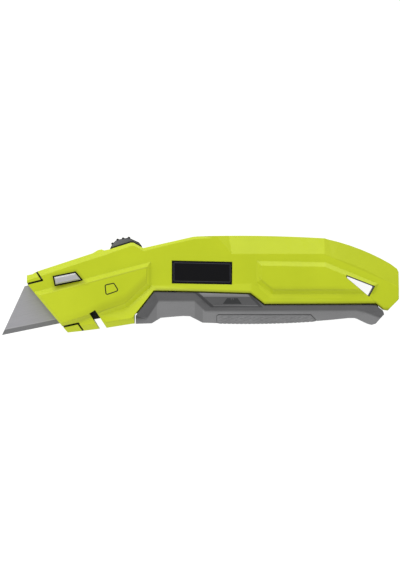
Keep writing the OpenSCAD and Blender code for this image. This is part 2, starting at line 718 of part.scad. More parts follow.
module magazine() {
    color(grip_colour) mid_plane() difference() {
        union() {
            difference() {
                intersection() {
                    union() {
                        slab(-mag_half, mag_half) magazine_outline();
                        both_sides() facets(mag_lip_outer, mag_lip_inner, same(8, lip_half),
                            same(8, mag_half), mag_half - 3);
                        both_sides() catch_panel();
                    }
                    slab(-far, far) magazine_outline();
                }
                trough();
            }
            // lugs that snap into the spring clips of the body
            at_clips() translate([0, 0, hollow_half - 2.4]) {
                box(-0.45, 0.45, -5, clip_y, 0, 1.7);
                translate([0, clip_y, 0]) cylinder(h = 1.7, r = clip_r);
                box(-1.6, 1.6, -6, -3.2, 0, 3);
            }
        }
        // groove that the body's skirt stands in
        both_sides() slab(carriage_half + skirt_clear - skirt_fit, trough_half)
            translate([0, -skirt_fit])
                seam_strip(skirt_root, skirt_lap + skirt_fit, skirt_x0, magazine_front + far);
        // clevis for the body's hinge tongue
        slab(-tongue_half - 0.3, tongue_half + 0.3) {
            translate([hinge_x, hinge_y]) circle(tongue_r + 0.3);
            translate([hinge_x - tongue_r - 0.4, hinge_y - tongue_r - 0.3]) square([far, far]);
        }
        // round the tail so that it swings past the body
        slab(-far, far) difference() {
            translate([hinge_x, hinge_y]) square([far, far]);
            translate([hinge_x, hinge_y]) circle(swing_r);
        }
        difference() {
            grip_zone(0, far);
            grip_zone(grip_t, mag_half - grip_t);
        }
        // bore of the hinge pin, open at the back
        translate([hinge_x, hinge_y, -far])
            cylinder(h = far + pin_front, r = hinge_r + run_fit);
    }
}
// trough for the carriage and, behind it, the seat of the blade tray
trough_half = hollow_half - 0.7;
module trough() {
    front = magazine_front + mag_wall;
    slab(-trough_half, trough_half) difference() {
        union() {
            intersection() {
                offset(delta = -mag_wall) outline();
                translate([front, -far]) square([tray_x0 - front + 1, 2 * far]);
            }
            translate([tray_x0, tray_floor]) square([hinge_x - 2.6 - tray_x0, far]);
        }
        translate([-1, -far]) square([tray_x0 + 2, far + tray_floor]);
    }
}
magazine_front = -28.3 + seam_gap / 2;
clip_front = -12;
clip_back = -5;
clip_y = -1.3;
module at_clips() {
    translate([clip_front, 0]) children();
    mirror([0, 0, 1]) translate([clip_back, 0]) children();
}
clip_r = 0.9;

module grip_pad() {
    color([0.49, 0.49, 0.49]) mid_plane() difference() {
        grip_zone(0, mag_half + 0.25);
        grip_zone(grip_t, mag_half - grip_t);
    }
}

module spare_outline(grow) {
    translate([spare_x, spare_y]) offset(delta = grow) blade_outline();
}
pack_half = (spares * blade_t + (spares - 1) * spare_gap) / 2;
module blade_tray() {
    color([0.2, 0.2, 0.21]) mid_plane() {
        difference() {
            slab(-pack_half - tray_t, pack_half + tray_t) intersection() {
                spare_outline(tray_t);
                translate([-far, tray_floor]) square([far + hinge_x - 3, tray_h + tray_t]);
            }
            slab(-pack_half - 0.1, pack_half + 0.1) {
                spare_outline(0.12);
                translate([spare_x + blade_rake, 0]) square([blade_back, far]);
            }
        }
        // foot that spreads the tray over the magazine's floor
        box(tray_x0 + 1, hinge_x - 5, tray_floor, tray_floor + 0.9,
            -hollow_half + 0.8, -pack_half - tray_t + eps);
        box(tray_x0 + 1, hinge_x - 5, tray_floor, tray_floor + 0.9,
            pack_half + tray_t - eps, hollow_half - 0.8);
    }
}
module spare_blades() {
    color("lightgray") mid_plane() for (i = [0:spares - 1])
        translate([spare_x, spare_y, -pack_half + blade_t / 2 + i * (blade_t + spare_gap)])
            trapezoid_blade();
}
// U-shaped spring clips fixed to the body, one each side
module magazine_clip() {
    color("silver") mid_plane() at_clips() translate([0, 0, hollow_half - 2.35])
        slab(0, 2.3) {
            for (s = [-1, 1]) {
                translate([s * 1.35 - 0.2, clip_y - 1.2]) square([0.4, 2.9]);
                translate([s * 1.05 - 0.2, clip_y - 1.2]) square([0.4, 0.4]);
            }
            translate([-1.55, clip_y + 1.4]) square([3.1, 0.4]);
        }
}

// ---------------------------------------------------------------- the knife
front_shell();
back_shell();
brand_plate();
body_screws();
detent_plate();
hinge_pin();
release_button();
release_spring();
blade_carrier();
carrier_cover();
cutting_blade();
lock_pin();
lock_spring();
thumb_slider();
thumb_spring();
detent_spring();
magazine();
grip_pad();
blade_tray();
spare_blades();
magazine_clip();
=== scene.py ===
"""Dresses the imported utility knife: painted cast body, steel, moulded grip, stage and lights.

Objects are in metres, in the knife's own frame: it lies on its side with the blade towards
-X, its back towards +Y and the face that it lies on at z = 0. Outlines, the places that the
finishes read and the sizes of their patterns are in mm, and so are the points of the new
pieces until add_piece makes their meshes.
"""
import json
import math

import bmesh
import bpy
import numpy as np
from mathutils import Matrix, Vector


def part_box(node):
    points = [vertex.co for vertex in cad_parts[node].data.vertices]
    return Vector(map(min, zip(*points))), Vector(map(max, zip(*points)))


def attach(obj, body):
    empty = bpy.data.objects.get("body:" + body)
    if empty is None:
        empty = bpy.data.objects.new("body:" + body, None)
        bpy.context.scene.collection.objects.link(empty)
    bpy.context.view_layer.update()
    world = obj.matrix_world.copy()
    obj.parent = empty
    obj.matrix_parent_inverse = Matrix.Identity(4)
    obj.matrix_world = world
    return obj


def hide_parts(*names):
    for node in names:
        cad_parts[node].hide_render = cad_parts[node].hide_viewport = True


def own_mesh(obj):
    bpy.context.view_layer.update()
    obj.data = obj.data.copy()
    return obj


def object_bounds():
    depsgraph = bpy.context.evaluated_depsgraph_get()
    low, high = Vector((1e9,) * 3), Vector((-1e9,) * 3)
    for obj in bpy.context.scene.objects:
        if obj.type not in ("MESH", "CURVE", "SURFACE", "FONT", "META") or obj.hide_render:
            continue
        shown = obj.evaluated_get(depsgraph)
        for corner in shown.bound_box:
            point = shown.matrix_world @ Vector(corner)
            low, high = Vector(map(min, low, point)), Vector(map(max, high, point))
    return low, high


MM = 0.001
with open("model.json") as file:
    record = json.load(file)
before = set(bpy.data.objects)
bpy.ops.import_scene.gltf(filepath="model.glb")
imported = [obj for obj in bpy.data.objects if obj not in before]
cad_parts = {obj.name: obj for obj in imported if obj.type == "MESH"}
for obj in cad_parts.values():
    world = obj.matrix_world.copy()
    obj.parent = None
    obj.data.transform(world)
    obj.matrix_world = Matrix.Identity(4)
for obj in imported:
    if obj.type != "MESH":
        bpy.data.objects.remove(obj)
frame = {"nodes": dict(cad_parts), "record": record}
cad_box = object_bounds()


def box_mm(node):
    """Lowest and highest corner of a CAD node at rest, in mm."""
    return [np.array(corner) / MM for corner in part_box(node)]


# ------------------------------------------------------------------ how finishes are made
class Wire:
    """A shader socket that adds, scales and blends in Python expressions."""

    def __init__(self, finish, socket):
        self.finish, self.socket = finish, socket

    def maths(self, operation, a, b):
        """A Math node on two wires or numbers."""
        return self.finish.node("Math", {"operation": operation}, {0: a, 1: b})

    def __add__(self, other):
        return self.maths("ADD", self, other)

    def __mul__(self, other):
        return self.maths("MULTIPLY", self, other)

    def __sub__(self, other):
        return self.maths("SUBTRACT", self, other)

    def __rsub__(self, other):
        return self.maths("SUBTRACT", other, self)

    __radd__, __rmul__ = __add__, __mul__

    def over(self, low, high):
        """0 below low, 1 above high and straight between them."""
        return self.finish.node("MapRange", {"clamp": True}, {0: self, 1: low, 2: high})

    def under(self, low, high):
        """1 below low, 0 above high and straight between them."""
        return 1 - self.over(low, high)

    def band(self, low, high, soft):
        """1 between low and high, fading over soft at both ends."""
        return self.over(low - soft, low + soft) * self.under(high - soft, high + soft)

    def spread(self, reach=0.2):
        """Noise, which keeps near 0.5, opened out from 0.5 -/+ reach to the whole 0 to 1."""
        return self.over(0.5 - reach, 0.5 + reach)


class Finish:
    """One material round a single Principled shader, laid out in mm on Object coordinates."""

    def __init__(self, name, **fixed):
        self.material = bpy.data.materials.new(name)
        self.material.use_nodes = True
        self.tree = self.material.node_tree
        self.shader = self.tree.nodes["Principled BSDF"]
        for socket, value in fixed.items():
            self.shader.inputs[socket.replace("_", " ")].default_value = value
        metres = self.node("TexCoord", output="Object")
        self.place = self.node("VectorMath", {"operation": "SCALE"}, {0: metres, "Scale": 1 / MM})

    def node(self, kind, settings=None, sockets=None, output=0):
        """Any node: its settings first, then the values or wires of its sockets."""
        made = self.tree.nodes.new("ShaderNode" + kind)
        for key, value in (settings or {}).items():
            if key == "stops":
                while len(made.color_ramp.elements) < len(value):
                    made.color_ramp.elements.new(0.5)
                for stop, (at, colour) in zip(made.color_ramp.elements, value):
                    stop.position, stop.color = at, colour
            else:
                setattr(made, key, value)
        for key, value in (sockets or {}).items():
            self.feed(made.inputs[key], value)
        return Wire(self, made.outputs[output])

    def feed(self, socket, value):
        """A wire or a plain value into a socket."""
        if isinstance(value, Wire):
            self.tree.links.new(value.socket, socket)
        else:
            socket.default_value = value

    def least(self, first, *others):
        """The smallest of several wires."""
        for other in others:
            first = first.maths("MINIMUM", first, other)
        return first

    def most(self, first, *others):
        """The largest of several wires."""
        for other in others:
            first = first.maths("MAXIMUM", first, other)
        return first

    def noise(self, lump, detail=2.0, place=None):
        """Noise of about 0 to 1 whose lumps are lump mm across."""
        return self.node("TexNoise", {"normalize": True}, {
            "Vector": place or self.place, "Scale": 1.0 / lump, "Detail": detail})

    def streaks(self, lump, turn=0.0, detail=3.0):
        """Noise whose lumps have three lengths in mm, along axes turned about Z."""
        turned = self.node("Mapping", None, {"Vector": self.place, "Rotation": (0, 0, -turn)})
        drawn = self.node("Mapping", None, {"Vector": turned, "Scale": [1 / k for k in lump]})
        return self.noise(1.0, detail, drawn)

    def axes(self):
        """x, y and z of the place, each as a wire."""
        return [self.node("SeparateXYZ", None, {0: self.place}, output=k) for k in range(3)]

    def line_through(self, x, corners):
        """Height at x of the line through the corners, straight between them."""
        xs, ys = zip(*corners)
        low, high = min(ys), max(ys)
        stops = [((cx - xs[0]) / (xs[-1] - xs[0]), ((cy - low) / (high - low),) * 3 + (1.0,))
                 for cx, cy in corners]
        share = self.node("ValToRGB", {"stops": stops}, {0: x.over(xs[0], xs[-1])})
        return share * (high - low) + low

    def inward(self, x, y, corners):
        """Distances in from each side of an outline whose corners run anticlockwise."""
        sides = []
        for (ax, ay), (bx, by) in zip(corners, corners[1:] + corners[:1]):
            run = math.hypot(bx - ax, by - ay)
            across, up = (ay - by) / run, (bx - ax) / run
            sides.append(x * across + y * up - (ax * across + ay * up))
        return sides

    def blend(self, share, a, b):
        """The colour a where share is 0 and b where it is 1."""
        return self.node("Mix", {"data_type": "RGBA"}, {0: share, 6: a, 7: b}, output=2)

    def surface(self, colour, roughness=None, bumps=(), edge=0.0):
        """Links what varies: colour, roughness, rounded edges and a stack of bumps.

        bumps are (height wire, depth in mm); edge is the radius in mm that the normal is
        softened over where two faces meet.
        """
        self.feed(self.shader.inputs["Base Color"], colour)
        if roughness is not None:
            self.feed(self.shader.inputs["Roughness"], roughness)
        normal = None
        if edge:
            normal = self.node("Bevel", {"samples": 6}, {"Radius": edge * MM})
        for height, depth in bumps:
            sockets = {"Height": height, "Distance": depth * MM, "Strength": 1.0}
            if normal is not None:
                sockets["Normal"] = normal
            normal = self.node("Bump", None, sockets)
        if normal is not None:
            self.feed(self.shader.inputs["Normal"], normal)
        return self


def rgb(r, g, b):
    """A colour given in screen values of 0 to 255, as linear light."""
    def linear(v):
        v /= 255.0
        return v / 12.92 if v <= 0.04045 else ((v + 0.055) / 1.055) ** 2.4
    return (linear(r), linear(g), linear(b), 1.0)


def gray(tone, blue=1):
    """A gray given in screen values, its blue a little higher than the rest."""
    return rgb(tone, tone, tone + blue)


# ------------------------------------------------------------------ lines of the knife
MID_Z = 11.0                            # the plane where the two cast halves meet
BLADE_TILT = math.radians(11.5)         # slope of the cutting edge
ACROSS_BLADE = (-math.sin(BLADE_TILT), math.cos(BLADE_TILT), 0.0)
BLADE_TIP = box_mm("cutting_blade")[0]
GRIND = 2.2                             # width of the ground band along the cutting edge
NOSE_LEAN = 0.47                        # how far the nose's front leans back for each mm up

# along and across the blade, from its tip: outline of the release button, foot and back of
# the upper lug, crown of the thumb slider and the body's edge in front of the slider
BUTTON = [(27.7, 16.9), (38.8, 16.9), (37.0, 20.2), (27.7, 20.2)]
UPPER_LUG = [(12.8, 19.84), (21.9, 20.24), (20, 24.6)]
CROWN = [(53.8, 27.4), (55.3, 29.4), (57, 30.5), (58.4, 30.75), (61.2, 30.7), (62.6, 30.7),
         (63.6, 30.1), (66.8, 27.8), (67.6, 26.2)]
RAMP = [(53.7, 27.3), (63.3, 28.3), (64.6, 28.0), (68.2, 24.9)]

# in x and y: top and back of the lower lug, the lanyard hole, the foot of the ridge on the
# nose, and the lower edges of the nose panel, the rear panel and the sloping facet
LOWER_LUG = [(-62.8, -19), (-53.2, -16.9), (-50.2, -21.2)]
LANYARD = [(61.8, 5.1), (73.5, -4.7), (75.9, -0.4)]
RIDGE = [(-66, -3.1), (-24, 8.1)]
NOSE_EDGE = [(-64, -18.9), (-51, -15.4), (-41.9, -11.2), (-32.3, -7.7), (-23.2, 0.9), (-22.9, 9)]
REAR_EDGE = [(24, 9), (25.6, 0.9), (30.6, -3.6), (69, -3.6)]
SLOPE_EDGE = [(54.3, 13.5), (86.1, -0.2)]

# in x and y: the seam of body and grip, the crease between the grip's dark shoulder and its
# paler flank, the thumb catch, and the upper edge and the belly of the grip pad
SEAM = [(-20, -2.5), (-4.4, -2.75), (21.9, -3.6), (28, -8.3), (76.6, -8.1), (80, -10.9)]
CREASE = [(-28, -14.8), (-23, -14.8), (-18, -7.4), (-2.4, -7.4), (2.2, -11.8),
          (67.8, -11.5), (72, -12.3), (82, -16.2)]
CATCH = [(-2.6, -2.9), (4.8, -9.5), (27.4, -9.5), (21.4, -2.9)]
PAD_TOP = [(7.2, -13.2), (7.9, -12.6), (48.4, -12.6), (51.6, -16.0)]
BELLY = [(56.9, -15.0), (30.0, -17.4), (1.1, -16.2)]


def on_blade(f):
    """Distances along the cutting edge from the tip and square to it, and z."""
    x, y, z = f.axes()
    x, y = x - BLADE_TIP[0], y - BLADE_TIP[1]
    return (x * math.cos(BLADE_TILT) + y * math.sin(BLADE_TILT),
            y * math.cos(BLADE_TILT) - x * math.sin(BLADE_TILT), z)


# ------------------------------------------------------------------ finishes
def lug_gap_shade(f):
    """1 along the gaps round the front of the two lugs, in bands a little wider than the gaps,
    where shade is painted; 0 elsewhere.
    """
    x, y, _ = f.axes()
    u, v, z = on_blade(f)
    (u0, v0), (u1, v1), (u2, v2) = UPPER_LUG
    (x0, y0), (x1, y1), (x2, y2) = LOWER_LUG
    soft, wide = 0.12, 0.75
    foot = v - f.line_through(u, [(u0, v0), (u1, v1)])
    back = u - f.line_through(v, [(v1, u1), (v2, u2)])
    top = y - f.line_through(x, [(x0, y0), (x1, y1)])
    rear = x - f.line_through(y, [(y2, x2), (y1, x1)])
    return z.over(MID_Z, MID_Z + 0.2) * f.most(
        foot.band(-wide, 0.1, soft) * u.band(11, u1 + 0.6, soft),
        back.band(-0.1, wide, soft) * v.band(v1 - 0.4, 28, soft),
        top.band(-0.1, wide, soft) * x.band(-66, x1 + 0.5, soft),
        rear.band(-0.1, wide, soft) * y.band(-24, y1 + 0.6, soft))


def cast_paint():
    """Powder coat over a casting: faint mottling, orange peel and soft cast edges.

    Shade is painted into the coat: it is darker under the ridge, under and round the button's
    window, at the feet of the panels, on the sloping facet and on the lip over the grip's seam.
    Light is painted in as well: the coat is paler on the rims below the panels, at the front
    corner of the rear panel and at the front of the nose. The walls of the button's window and
    of the lanyard hole and the gaps round the lugs are painted near black as the shade in them;
    the parting line is a dark joint line.
    """
    f = Finish("body_paint", Specular_IOR_Level=0.36, Coat_Weight=0.12, Coat_Roughness=0.3)
    x, y, _ = f.axes()
    u, v, z = on_blade(f)

    # painted shade: the walls of the button's window and of the lanyard hole and the gaps round
    # the lugs go near black, as the shade in them; the parting line is a dark joint line
    button = f.inward(u, v, BUTTON)
    window = f.least(*button)
    walls = f.least(window + 0.62, 21.8 - z, z - MID_Z).over(-0.02, 0.03)
    foot, end, top = f.inward(x, y, LANYARD)
    rim = f.least(foot + 0.05, end + 0.25, top + 0.22)
    hole = rim.over(-0.05, 0.03) * x.over(63.5, 63.8)
    parting = z.band(MID_Z - 0.06, MID_Z + 0.06, 0.03)
    bare = f.most(walls, hole, lug_gap_shade(f), parting * 0.7)

    # the nose: painted shade at the foot of its ridge and of the panel below it, painted light
    # on that panel's rim and at its front
    nose = x.under(-22.4, -22.2)
    over_ridge = y - f.line_through(x, RIDGE)
    in_panel = y - f.line_through(x, NOSE_EDGE)
    below_ridge = nose * over_ridge.under(-0.1, 0.1)
    ridge_foot = nose * over_ridge.band(-0.7, -0.1, 0.1)
    nose_foot = below_ridge * in_panel.over(-0.1, 0.2) * in_panel.under(1.8, 5)
    nose_rim = nose * in_panel.under(-0.1, 0.1)
    nose_front = below_ridge * x.under(-59, -44)

    # the rear panel: painted shade at its foot, painted light on its rim and front corner; and
    # painted shade on the sloping facet, on the lip over the grip's seam, under the button and
    # round its window
    rear = x.over(24, 26) * x.under(60, 66)
    in_rear = y - f.line_through(x, REAR_EDGE)
    rear_foot = rear * in_rear.band(1.7, 2.7, 0.9)
    rear_rim = rear * in_rear.band(-1.9, -0.1, 0.2)
    rear_corner = rear * in_rear.band(0.2, 2.2, 0.3) * x.under(30.4, 31)
    facet = x.over(53.9, 54.7) * (y - f.line_through(x, SLOPE_EDGE)).over(-0.2, 0.2)
    seam_lip = x.over(-20, -19) * (y - f.line_through(x, SEAM)).under(0.5, 1.6)
    button_shade = f.least(button[0] + 1.6, *button[1:]).over(-1.9, 0.2)
    window_rim = window.over(-1.4, -0.3)

    # painted shade and painted light: how strongly each mask darkens or lightens the coat
    painted_shade = f.most(seam_lip * 0.95, button_shade * 0.9, ridge_foot * 0.45, nose_foot * 0.42,
                    rear_foot * 0.35, window_rim * 0.3, facet * 0.22)
    pale = f.most(nose_rim * 0.75, nose_front * 0.7, rear_rim * 0.5, rear_corner * 0.5)
    cloud = f.noise(16, 3).spread()
    peel = f.noise(0.5)
    paint = f.blend(cloud, rgb(185, 199, 5), rgb(191, 205, 13))
    # olive tone of the painted shade, then pale tone of the painted light
    paint = f.blend(painted_shade, paint, rgb(150, 158, 0))
    paint = f.blend(pale, paint, rgb(198, 211, 24))
    # metal is the near-black tone of that painted gap shade, darker still in the lanyard hole
    metal = f.blend(cloud, rgb(22, 23, 14), rgb(36, 37, 26))
    metal = f.blend(hole, metal, rgb(9, 10, 4))
    return f.surface(f.blend(bare, paint, metal), peel * 0.08 + bare * 0.15 + 0.40,
                     [(peel, 0.008)], edge=0.45)


def black_plate():
    """Printed black plate with a very fine grain."""
    f = Finish("plate_black", Specular_IOR_Level=0.12)
    grain = f.noise(0.25)
    tone = f.blend(grain.spread(), gray(7, 2), gray(14, 3))
    return f.surface(tone, grain * 0.12 + 0.42, [(grain, 0.006)], edge=0.15)


def brushed_steel():
    """Bare steel with fine grinding lines along one direction and faint blotches."""
    f = Finish("steel", Metallic=1.0)
    lines = f.streaks((6, 0.07, 0.07), 0.3)
    blotch = f.noise(9)
    tone = f.blend(lines.spread() * 0.7 + blotch.spread(0.15) * 0.3, gray(170, 3), gray(205, 2))
    return f.surface(tone, lines * 0.14 + 0.34, [(lines, 0.004)], edge=0.12)


def button_finish():
    """Bright satin cap of the release button; under the cap, its sides and the flange round its
    foot are painted black as the shade in the gap round the button.
    """
    f = Finish("button_metal", Metallic=0.8)
    cap = on_blade(f)[2].over(20.4, 20.7)
    lines = f.streaks((6, 0.07, 0.07), BLADE_TILT)
    satin = f.blend(lines.spread(), gray(184, 3), gray(200, 2))
    # black is painted shade, on the button's sides below the cap
    black = f.blend(lines.spread(), gray(12), gray(20))
    return f.surface(f.blend(cap, black, satin), lines * 0.14 + 0.40, [(lines, 0.004)],
                     edge=0.2)


def blade_finish():
    """Tool steel: satin flat, and a darker ground band along the cutting edge.

    v is the height over the edge, measured square to it; the band is v < its width, and a
    fine bright line, a painted highlight, parts it from the flat. A painted shadow of the nose
    darkens the flat towards the holder.
    """
    f = Finish("blade_steel", Metallic=0.7)
    u, v, _ = on_blade(f)
    flat = v.over(GRIND - 0.12, GRIND + 0.12)
    along = f.streaks((8, 0.09, 0.09), BLADE_TILT)
    across = f.streaks((0.08, 5, 0.08), BLADE_TILT + 0.1)
    # painted shadow of the nose on the flat, growing over about 2.5 mm towards the holder
    painted_nose_shadow = (u + v * NOSE_LEAN).over(23.3, 25.8) * 0.3
    satin = f.blend(along.spread(), rgb(165, 164, 169), rgb(178, 177, 182))
    satin = f.blend(painted_nose_shadow, satin, gray(96))
    ground = f.blend(across.spread(), gray(121, 2), gray(139, 2))
    # painted highlight along the top of the ground band
    line = v.band(GRIND - 0.2, GRIND + 0.2, 0.1) * 0.5
    tone = f.blend(line, f.blend(flat, ground, satin), gray(200))
    return f.surface(tone, flat * 0.06 + along * 0.12 + 0.38,
                     [(along * flat + across * (1 - flat), 0.003)])


def mould_grain(f):
    """Spark-eroded grain, and the tone that it gives together with slight flow marks."""
    fine = f.noise(0.35, 3)
    flow = f.streaks((11, 5, 11))
    return fine, fine.spread(0.25) * 0.6 + flow.spread() * 0.4


def carrier_plastic():
    """Black moulded plastic of the carriage."""
    f = Finish("carrier_black", Specular_IOR_Level=0.35)
    fine, speck = mould_grain(f)
    return f.surface(f.blend(speck, gray(34), gray(44)), fine * 0.12 + 0.5, [(fine, 0.02)],
                     edge=0.4)


def grip_plastic():
    """Grip plastic: pale flank, darker shoulder above the crease, and the thumb catch.

    Painted shade darkens the flank on the two slopes at the ends of the finger's hollow, and
    the shoulder just under the seam. The catch's face is a little darker than the shoulder;
    painted light makes its upper bevel and a line over its lower edge pale, and painted shade
    makes its front, rear and lower edges dark.
    """
    f = Finish("magazine_gray", Specular_IOR_Level=0.5)
    x, y, _ = f.axes()
    shoulder = (y - f.line_through(x, CREASE)).over(0.1, 1.0)
    # painted shade under the body's lip, along the seam
    seam = (f.line_through(x, SEAM) - y).under(0.5, 1.0) * 0.6
    # painted shade on the slopes at the ends of the finger's hollow
    ends = f.most(x.under(-18.9, -18.7), x.band(-2.3, 1.2, 0.15)) * 0.5
    front, low, rear, high = f.inward(x, y, CATCH)
    catch = f.least(front, low, rear).over(-0.05, 0.05)
    # painted light on the catch's upper bevel and over its lower edge; painted shade on its other
    # edges
    lit = f.most(high.under(1.9, 2.1), low.band(0.5, 0.95, 0.15) * 0.5)
    shaded = f.most(front.under(1.1, 1.3), low.under(0.35, 0.5), rear.under(0.9, 1.2))
    fine, speck = mould_grain(f)
    flank = f.blend(speck, gray(118), gray(132))
    flank = f.blend(ends, flank, gray(101))
    band = f.blend(speck, gray(80), gray(91))
    band = f.blend(seam, band, gray(50))
    face = f.blend(speck, gray(71), gray(83))
    face = f.blend(lit, face, gray(121))
    face = f.blend(shaded, face, gray(56))
    return f.surface(f.blend(catch, f.blend(shoulder, flank, band), face), fine * 0.12 + 0.42,
                     [(fine, 0.02)], edge=0.3)


def slider_finish():
    """Gray cap of the thumb slider between a black foot and black rubber ridges.

    Painted shade makes the foot black up to 0.7 mm over the body's edge; the crown is black
    from just under its line. Painted shade darkens the cap towards its rear.
    """
    f = Finish("slider_gray", Specular_IOR_Level=0.35)
    u, v, _ = on_blade(f)
    # painted shade: black along the slider's foot, over the body's edge
    foot = (v - f.line_through(u, RAMP)).over(0.55, 0.8)
    crown = (f.line_through(u, CROWN) - v).over(0.12, 0.4)
    fine = f.noise(0.3, 3)
    # painted shade: the cap darker towards its rear
    cap = f.blend((u - v * 0.9).over(28, 39), rgb(113, 113, 123), rgb(85, 85, 94))
    black = f.blend(fine.spread(), gray(16), gray(27))
    return f.surface(f.blend(foot * crown, black, cap), fine * 0.15 + 0.45, [(fine, 0.015)],
                     edge=0.2)


def soft_grip():
    """Rubber of the grip pad: matt, with a faint bloom and short slanting streaks."""
    f = Finish("grip_gray", Specular_IOR_Level=0.3)
    fine = f.noise(0.3, 3)
    bloom = f.noise(7, 3)
    streak = f.streaks((2.4, 0.5, 0.5), 0.3, detail=2)
    speck = fine.spread() * 0.3 + bloom.spread() * 0.3 + streak.spread(0.15) * 0.4
    return f.surface(f.blend(speck, gray(110), gray(137)), fine * 0.1 + 0.62, [(fine, 0.03)],
                     edge=0.2)


def ink(name, tone):
    """Thin printed or moulded mark, a little uneven in its tone."""
    f = Finish(name, Specular_IOR_Level=0.3)
    speck = f.noise(0.3)
    paler = tuple(1.25 * part for part in tone[:3]) + (1.0,)
    return f.surface(f.blend(speck.spread(), tone, paler), speck * 0.1 + 0.5)


FINISHES = {
    "body_paint": cast_paint(),
    "plate_black": black_plate(),
    "steel": brushed_steel(),
    "blade_steel": blade_finish(),
    "button_metal": button_finish(),
    "carrier_black": carrier_plastic(),
    "slider_gray": slider_finish(),
    "magazine_gray": grip_plastic(),
    "grip_gray": soft_grip(),
}
for part in frame["record"]["subparts"]:
    mesh = frame["nodes"][part["node"]].data
    mesh.materials.clear()
    mesh.materials.append(FINISHES[part["material_slot"]].material)


# ------------------------------------------------------------------ shaped pieces
def weave(rows, columns, close_rows=False, close_columns=False):
    """The four corners of every cell of a grid, whose last row or column may meet its first."""
    index = np.arange(rows * columns).reshape(rows, columns)
    if close_rows:
        index = np.concatenate([index, index[:1]], 0)
    if close_columns:
        index = np.concatenate([index, index[:, :1]], 1)
    return np.stack([index[:-1, :-1], index[1:, :-1], index[1:, 1:], index[:-1, 1:]],
                    -1).reshape(-1, 4)


def place_mesh(name, mesh):
    """An object at the origin that shows this mesh."""
    made = bpy.data.objects.new(name, mesh)
    bpy.context.scene.collection.objects.link(made)
    return made


def add_piece(name, points, cells, body, finish, caps=(), smooth=False):
    """A closed mesh from points in mm, turned right side out by the sign of its volume."""
    points = np.asarray(points, float).reshape(-1, 3)
    a, b, c, d = (points[cells[:, k]] for k in range(4))
    volume = (np.einsum("ij,ij->", a, np.cross(b, c)) + np.einsum("ij,ij->", a, np.cross(c, d)))
    if volume < 0:
        cells = cells[:, ::-1]
        caps = [cap[::-1] for cap in caps]
    mesh = bpy.data.meshes.new(name)
    mesh.from_pydata((points * MM).tolist(), [], cells.tolist() + list(caps))
    mesh.polygons.foreach_set("use_smooth", [smooth] * len(mesh.polygons))
    mesh.materials.append(finish.material)
    piece = place_mesh(name, mesh)
    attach(piece, body)
    return piece


def rounded_loop(corners, radius, steps=5):
    """A closed loop round convex corners given anticlockwise, and its outward directions.

    Each corner becomes an arc about c + (e1 + e2) / |e1 + e2| * r / sin(half the corner),
    where e1 and e2 point along its two sides; the arc turns from one side's normal to the
    next one's.
    """
    corner = np.asarray(corners, float)
    back = np.roll(corner, 1, 0) - corner
    ahead = np.roll(corner, -1, 0) - corner
    back /= np.linalg.norm(back, axis=1, keepdims=True)
    ahead /= np.linalg.norm(ahead, axis=1, keepdims=True)
    half = np.arccos(np.clip((back * ahead).sum(1), -1, 1)) / 2
    middle_line = back + ahead
    middle_line /= np.linalg.norm(middle_line, axis=1, keepdims=True)
    centre = corner + middle_line * (radius / np.sin(half))[:, None]
    start = np.arctan2(back[:, 0], -back[:, 1])
    turn = (np.arctan2(-ahead[:, 0], ahead[:, 1]) - start) % (2 * np.pi)
    angle = start[:, None] + turn[:, None] * np.linspace(0, 1, steps)[None]
    out = np.stack([np.cos(angle), np.sin(angle)], -1)
    return (centre[:, None] + radius * out).reshape(-1, 2), out.reshape(-1, 2)


def raised_line(name, corners, radius, width, height, level, finish):
    """A thin raised line round a closed loop on the front of the body, whose z is level.

    Its section is half an ellipse, (width / 2 cos a, height sin a), with its flat foot a
    little under the surface.
    """
    sunk = 0.08
    loop, out = rounded_loop(corners, radius)
    a = np.linspace(0, np.pi, 7)
    across = np.concatenate([width / 2 * np.cos(a), [-width / 2, width / 2]])
    up = np.concatenate([height * np.sin(a), [-sunk, -sunk]])
    flat = loop[:, None] + out[:, None] * across[None, :, None]
    z = np.broadcast_to(level + up, flat.shape[:2])
    points = np.concatenate([flat, z[..., None]], -1)
    return add_piece(name, points, weave(*z.shape, True, True), "body", finish)


def plate_rim():
    """Fine raised line set in from the edge of the bare plate.

    Its two long sides fall a little towards the butt.
    """
    inset = 0.85
    low, high = box_mm("brand_plate")
    x0, x1 = low[0] + inset, high[0] - inset
    y0, y1 = low[1] + inset, high[1] - inset
    raised_line("plate_rim", [(x0, y0 + 0.6), (x1, y0 + 0.15), (x1, y1 - 0.6), (x0, y1 - 0.05)],
                radius=0.35, width=0.3, height=0.09, level=high[2],
                finish=ink("plate_rim", rgb(44, 44, 54)))


def bare_mark():
    """Empty frame of a small mark on the nose: a leaning box with rounded corners."""
    face_z = box_mm("front_shell")[1][2]
    raised_line("bare_mark", [(-41.3, 0.2), (-40.9, -4.1), (-35.5, -2.2), (-37.5, 1.0)],
                radius=0.7, width=0.7, height=0.03, level=face_z - 0.02,
                finish=ink("mark_olive", rgb(38, 42, 0)))


